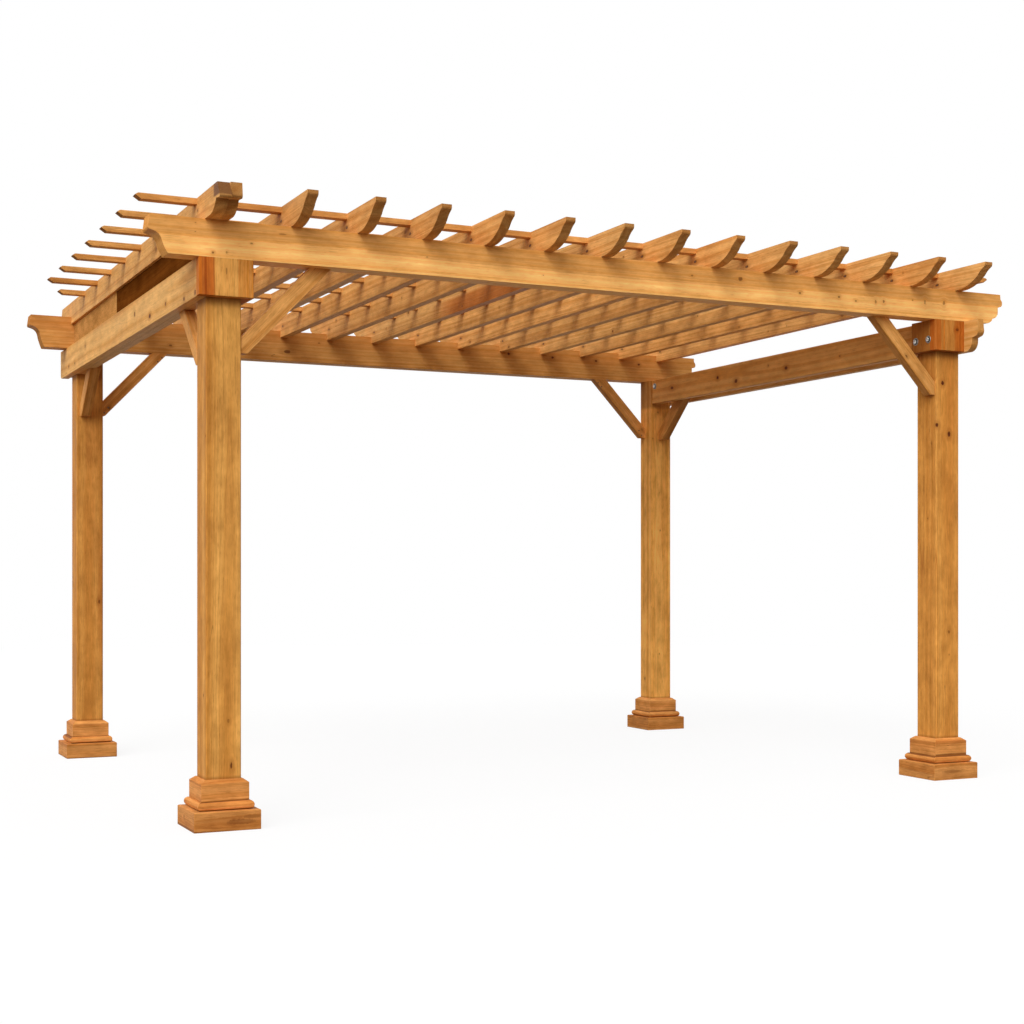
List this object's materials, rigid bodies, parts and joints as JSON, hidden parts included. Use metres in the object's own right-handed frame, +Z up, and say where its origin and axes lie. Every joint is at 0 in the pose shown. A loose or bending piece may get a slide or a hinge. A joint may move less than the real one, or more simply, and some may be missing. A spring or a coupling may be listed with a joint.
{
  "type": "garden pergola",
  "caption": "Rectangular timber pergola, an open frame of square posts with moulded bases, knee braces, main beams with shaped ends, notched rafters and flat battens.",
  "frame": {"origin": "centre of the footprint, on the floor under the posts", "axes": "+Z up; +X along the long front, from its left to its right as seen from the front; -Y faces the front"},
  "size_m": [4.226, 3.3402, 2.459],
  "materials": {
    "post_timber": "satin",
    "moulding_timber": "satin",
    "rafter_timber": "satin",
    "batten_timber": "satin",
    "brace_timber": "satin",
    "cap_timber": "satin",
    "beam_timber": "satin"
  },
  "bodies": {
    "root": {"base_collars": "moulding_timber", "base_mouldings": "moulding_timber", "base_plinths": "moulding_timber", "battens": "batten_timber", "beam_front": "beam_timber", "beam_rear": "beam_timber", "brace_front_left_long": "brace_timber", "brace_front_left_side": "brace_timber", "brace_front_right_long": "brace_timber", "brace_rear_left_long": "brace_timber", "brace_rear_left_side": "brace_timber", "brace_rear_right_long": "brace_timber", "brace_rear_right_side": "brace_timber", "cap_front_left": "cap_timber", "cap_front_right": "cap_timber", "cap_rear_left": "cap_timber", "cap_rear_right": "cap_timber", "cheek_front_left": "cap_timber", "cheek_front_right": "cap_timber", "post_front_left": "post_timber", "post_front_right": "post_timber", "post_rear_left": "post_timber", "post_rear_right": "post_timber", "rafter_01": "rafter_timber", "rafter_02": "rafter_timber", "rafter_03": "rafter_timber", "rafter_04": "rafter_timber", "rafter_05": "rafter_timber", "rafter_06": "rafter_timber", "rafter_07": "rafter_timber", "rafter_08": "rafter_timber", "rafter_09": "rafter_timber", "rafter_10": "rafter_timber", "rafter_11": "rafter_timber", "rafter_12": "rafter_timber", "rafter_13": "rafter_timber", "rafter_14": "rafter_timber", "rafter_block": "rafter_timber", "rafter_double": "rafter_timber", "side_inner_left": "beam_timber", "side_inner_right": "beam_timber", "side_outer_left": "beam_timber", "side_outer_right": "beam_timber", "side_upper_left": "beam_timber"}
  },
  "joints": []
}
